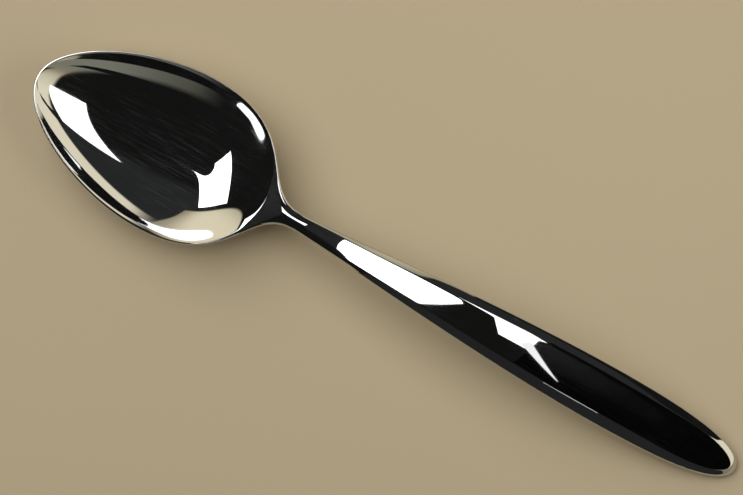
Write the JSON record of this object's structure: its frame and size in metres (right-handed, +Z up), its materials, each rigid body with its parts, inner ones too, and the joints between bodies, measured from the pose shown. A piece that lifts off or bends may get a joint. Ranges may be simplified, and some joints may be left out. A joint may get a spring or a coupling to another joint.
{
  "type": "tablespoon",
  "caption": "Polished steel tablespoon with a deep egg-shaped bowl, a narrow neck and a long bevelled handle that arches and rests on its rounded end.",
  "frame": {"origin": "on the table, under the middle of the spoon's length and width", "axes": "+X from the tip of the bowl to the end of the handle, +Y across the spoon, +Z up out of the hollow"},
  "size_m": [0.2, 0.042, 0.0197],
  "materials": {
    "steel": "mirror-polished stainless steel with fine buffing lines"
  },
  "bodies": {
    "root": {"bowl": "steel", "neck": "steel", "handle": "steel"}
  },
  "joints": []
}
